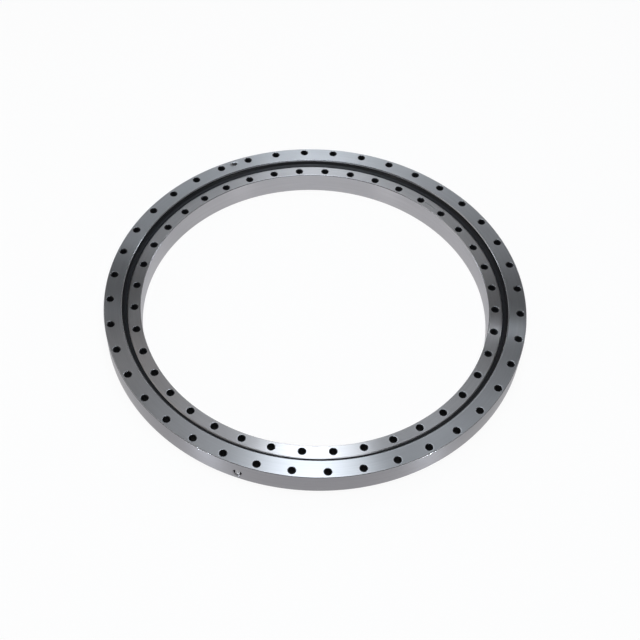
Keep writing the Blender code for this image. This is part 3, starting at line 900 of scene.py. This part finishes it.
def lathe_steel(name, colour, roughness, anisotropy, lean=0.0):
    """Turned bare steel: its highlights spread across the grooves, which run round the slewing axis.

    Where the ridges lean, the height also rises outwards by a steady slope.
    """
    made, tree, shader, place = new_material(name)
    slope = math.tan(lean) / (GROOVE_DEPTH * GROOVE_STRENGTH)
    marks = group_node(tree, TURNING_MARKS, {"Vector": place, "Slope": slope})
    wiped = group_node(tree, HANDLING_MARKS, {"Vector": place})["Mask"]
    change = roughness * TURNED_ROUGHNESS_VARIATION
    rough = between(tree, marks["Tone"], roughness - change, roughness + change)
    along = vector_node(tree, "CROSS_PRODUCT", (0, 0, 1), place)["Vector"]
    to_world = {"vector_type": "VECTOR", "convert_from": "OBJECT", "convert_to": "WORLD"}
    finish = {
        "Base Color": varied_colour(tree, marks["Tone"], colour, TURNED_VARIATION),
        "Metallic": 1.0,
        "Roughness": math_node(tree, "MULTIPLY_ADD", wiped, roughness * WIPED_ROUGHNESS, rough),
        "Normal": bumped(tree, marks["Height"], GROOVE_DEPTH, GROOVE_STRENGTH),
        "Anisotropic": anisotropy,
        "Anisotropic Rotation": QUARTER_TURN,
        "Tangent": add_node(tree, "ShaderNodeVectorTransform", {0: along}, **to_world).outputs[0],
    }
    set_inputs(tree, shader, finish)
    return made


def plain_finish(
    name, colour, roughness, metallic, grain=GRAIN_SCALE, depth=GRAIN_DEPTH, variation=PLAIN_VARIATION
):
    """Ground, plated or moulded surfaces, and the near-black painted shade inside holes: an even grain with
    faint clouds of handling.
    """
    made, tree, shader, place = new_material(name)
    wiped = group_node(tree, HANDLING_MARKS, {"Vector": place, "Scale": PLAIN_CLOUD_SCALE})["Mask"]
    speck = noise(tree, place, grain)
    finish = {
        "Base Color": varied_colour(tree, speck, colour, variation),
        "Metallic": metallic,
        "Roughness": between(tree, wiped, roughness * CLEAN_ROUGHNESS, roughness * HANDLED_ROUGHNESS),
        "Normal": bumped(tree, speck, depth, GRAIN_STRENGTH),
    }
    set_inputs(tree, shader, finish)
    return made


def ring_finishes():
    """The outer and the inner ring's finishes, each list in the order of the ring's material slots."""
    outer_face = lathe_steel(
        "outer_ring_face", (0.424, 0.419, 0.425), roughness=0.28, anisotropy=1.0, lean=RIDGE_LEAN
    )
    inner_face = lathe_steel("inner_ring_face", (0.472, 0.453, 0.450), roughness=0.28, anisotropy=1.0)
    # The outer wall is the faces' steel painted darker: painted shade for the shadowed floor that it
    # reflects
    outer_wall_painted_shade = lathe_steel("outer_ring_wall_painted_shade", (0.278, 0.273, 0.290), roughness=0.30, anisotropy=0.9)
    bore_wall = lathe_steel("inner_ring_bore", (0.415, 0.41, 0.432), roughness=0.34, anisotropy=0.9)
    edge = plain_finish("machined_edge", (0.34, 0.34, 0.35), roughness=0.22, metallic=1.0)
    # Near-black steel inside holes and ports: painted shade, not the colour of drilled steel
    painted_hole_shade = plain_finish("hole_painted_shade", (0.006, 0.006, 0.008), roughness=0.7, metallic=0.3)
    return [outer_face, outer_wall_painted_shade, edge, painted_hole_shade], [inner_face, bore_wall, edge, painted_hole_shade]


def seal_rubber():
    """Black rubber, with a finer and deeper grain than the metals and a weak gloss."""
    colour = (0.0042, 0.0045, 0.0060)
    grain = {"grain": RUBBER_GRAIN_SCALE, "depth": RUBBER_GRAIN_DEPTH, "variation": RUBBER_VARIATION}
    made = plain_finish("seal_rubber_black", colour, roughness=0.34, metallic=0.0, **grain)
    made.node_tree.nodes["Principled BSDF"].inputs["Specular IOR Level"].default_value = RUBBER_GLOSS
    return made


def outer_group(finishes, rubber, pin_steel, nipple_steel):
    """The outer ring and what it carries: lower seal, filling plug, taper pin, grease nipples."""
    cutters = [port_cutter(angle) for angle in NIPPLE_ANGLES] + [plug_bore_cutter(), pin_hole_cutter()]
    ring = cut_away(ring_skin(OUT, 0).mesh("turned_outer_ring"), *cutters)
    place_piece(ring, "outer", finishes, ["outer_ring"])
    place_piece(seal_skin(OUT, 0).mesh("lower_lip_seal"), "outer", [rubber], ["lower_seal"])
    plug = cut_away(plug_skin().mesh("roller_filling_plug"), raceway_wedge(), pin_hole_cutter())
    place_piece(plug, "outer", finishes, ["filling_plug"])
    place_piece(taper_pin_skin().mesh("plug_pin"), "outer", [pin_steel], ["plug_taper_pin"])
    for number, angle in enumerate(NIPPLE_ANGLES, 1):
        mesh = nipple_skin(angle).mesh(f"flush_grease_nipple_{number}")
        place_piece(mesh, "outer", [nipple_steel], [f"grease_nipple_{number}"])


def inner_group(finishes, rubber):
    """The inner ring and the upper seal that sits in it."""
    ring = ring_skin(IN, INNER_RING_TURN).mesh("turned_inner_ring")
    place_piece(ring, "inner", finishes, ["inner_ring"])
    seal = seal_skin(IN, INNER_RING_TURN).mesh("upper_lip_seal")
    place_piece(seal, "inner", [rubber], ["upper_seal"])


def roller_group(roller_steel, plastic):
    """The crossed rollers, leaning out and in by turns, and the saddle spacers between them."""
    runs = [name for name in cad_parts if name.startswith("rollers_and_spacers")]
    outward = roller_skin(0, LEAN_OUT).mesh("rollers_leaning_out")
    place_piece(outward, "roller_set", [roller_steel], runs)
    inward = roller_skin(1, LEAN_IN).mesh("rollers_leaning_in")
    place_piece(inward, "roller_set", [roller_steel], runs)
    place_piece(saddle_skin().mesh("saddle_spacers"), "roller_set", [plastic], runs)


def floor_material():
    """Pale and matt, keeping some of the bearing's soft shadow, and clear to a camera below it.

    Rays from the camera, reflected rays and transmitted rays see it mostly as an even white glow.
    """
    made, tree, shader, place = new_material("pale_floor")
    speck = noise(tree, place, FLOOR_GRAIN_SCALE)
    matt = {
        "Base Color": FLOOR_COLOUR,
        "Roughness": between(tree, speck, *FLOOR_ROUGHNESS),
        "Specular IOR Level": 0.0,
    }
    set_inputs(tree, shader, matt)
    glow = add_node(tree, "ShaderNodeEmission", {"Color": WHITE, "Strength": 1.0}).outputs[0]
    path = add_node(tree, "ShaderNodeLightPath").outputs
    seen = math_node(tree, "MAXIMUM", path["Is Camera Ray"], path["Is Glossy Ray"])
    seen = math_node(tree, "MAXIMUM", seen, path["Is Transmission Ray"])
    share = math_node(tree, "MULTIPLY", seen, FLOOR_GLOW)
    lit = add_node(tree, "ShaderNodeMixShader", {0: share, 1: shader.outputs[0], 2: glow}).outputs[0]
    clear = add_node(tree, "ShaderNodeBsdfTransparent").outputs[0]
    underside = add_node(tree, "ShaderNodeNewGeometry").outputs["Backfacing"]
    under = math_node(tree, "MULTIPLY", underside, path["Is Camera Ray"])
    both = add_node(tree, "ShaderNodeMixShader", {0: under, 1: lit, 2: clear}).outputs[0]
    set_inputs(tree, tree.nodes["Material Output"], {"Surface": both})
    return made


def floor():
    """A plain square floor, a hair below the bearing."""
    signs = ((-1, -1), (1, -1), (1, 1), (-1, 1))
    corners = [(x * FLOOR_HALF, y * FLOOR_HALF, -FLOOR_DROP) for x, y in signs]
    mesh = bpy.data.meshes.new("floor")
    mesh.from_pydata(corners, [], [(0, 1, 2, 3)])
    mesh.materials.append(floor_material())
    piece = add_object("floor", mesh)


def camera_axes():
    """The camera's place and its own axes, in the bearing's frame.

    It stands at the fitted elevation and distance from the middle of the bolting face, looks at that
    point, and is then panned, tilted and rolled by the fitted angles.
    """
    back = Vector((0, -math.cos(CAMERA_ELEVATION), math.sin(CAMERA_ELEVATION)))
    forward = -back
    right = Vector((1, 0, 0))
    up = right.cross(forward)
    pan = Matrix.Rotation(CAMERA_PAN, 3, up)
    forward, right = pan @ forward, pan @ right
    tilt = Matrix.Rotation(CAMERA_TILT, 3, right)
    forward, up = tilt @ forward, tilt @ up
    roll = Matrix.Rotation(CAMERA_ROLL, 3, forward)
    right, up = roll @ right, roll @ up
    studio = Matrix.Rotation(PHOTO_TURN, 3, "Z")
    place = studio @ (back * CAMERA_DISTANCE) + Vector((0, 0, TOP_FACE))
    return place, studio @ right, studio @ up, studio @ forward


def add_camera():
    """The camera at the photograph's viewing angle."""
    place, right, up, forward = camera_axes()
    data = bpy.data.cameras.new("camera")
    data.sensor_width = SENSOR
    data.lens = FOCAL_PIXELS / PHOTO_PIXELS * SENSOR
    data.shift_x = CROP_PIXELS / PHOTO_PIXELS
    data.clip_end = FAR_CLIP
    camera = add_object("camera", data)
    camera.matrix_world = Matrix.Translation(place) @ Matrix((right, up, -forward)).transposed().to_4x4()
    bpy.context.scene.camera = camera


def add_lamps():
    """Soft lamps round the bearing, each a rectangle that faces the middle of the bolting face."""
    centre = Vector((0, 0, TOP_FACE))
    for name, bearing, elevation, distance, width, height, brightness, colour in LAMPS:
        azimuth = math.radians(bearing) + PHOTO_TURN
        slope = math.radians(elevation)
        level = Vector((math.cos(azimuth), math.sin(azimuth), 0))
        way = level * math.cos(slope) + Vector((0, 0, math.sin(slope)))
        right = Vector((-math.sin(azimuth), math.cos(azimuth), 0))
        data = bpy.data.lights.new(name, "AREA")
        data.shape = "RECTANGLE"
        data.size = width
        data.size_y = height
        data.energy = brightness * math.pi * width * height
        data.color = colour
        lamp = add_object(name, data)
        axes = Matrix((right, way.cross(right), way)).transposed().to_4x4()
        lamp.matrix_world = Matrix.Translation(centre + way * distance) @ axes
        lamp.visible_camera = False


def add_world():
    """Dim surroundings above a pale backdrop, and pure white where the camera looks past the floor.

    The backdrop is full up to the start of its fade, falls off through it, and ends at its top.
    """
    world = bpy.data.worlds.new("studio")
    bpy.context.scene.world = world
    world.use_nodes = True
    tree = world.node_tree
    way = add_node(tree, "ShaderNodeTexCoord").outputs["Generated"]
    fade = {
        "Value": apart(tree, way)["Z"],
        "From Min": math.sin(BACKDROP_TOP - BACKDROP_FADE),
        "From Max": math.sin(BACKDROP_TOP),
        "To Min": BACKDROP_LEVEL,
        "To Max": WORLD_LEVEL,
    }
    around = add_node(tree, "ShaderNodeMapRange", fade).outputs[0]
    seen = add_node(tree, "ShaderNodeLightPath").outputs["Is Camera Ray"]
    level = math_node(tree, "MAXIMUM", seen, around)
    set_inputs(tree, tree.nodes["Background"], {"Color": WHITE, "Strength": level})


def main():
    """Dresses the bearing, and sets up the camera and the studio."""
    add_camera()
    outer_finishes, inner_finishes = ring_finishes()
    rubber = seal_rubber()
    pin_steel = plain_finish("pin_ground_steel", (0.42, 0.42, 0.43), roughness=0.25, metallic=1.0)
    nipple_steel = plain_finish("nipple_zinc", (0.36, 0.355, 0.36), roughness=0.5, metallic=1.0)
    roller_steel = plain_finish("roller_ground_steel", (0.60, 0.60, 0.61), roughness=0.12, metallic=1.0)
    plastic = plain_finish("spacer_polyamide", (0.72, 0.68, 0.56), roughness=0.45, metallic=0.0)
    inner_group(inner_finishes, rubber)
    outer_group(outer_finishes, rubber, pin_steel, nipple_steel)
    roller_group(roller_steel, plastic)
    floor()
    add_lamps()
    add_world()
    bpy.context.scene.view_settings.view_transform = "Standard"


main()
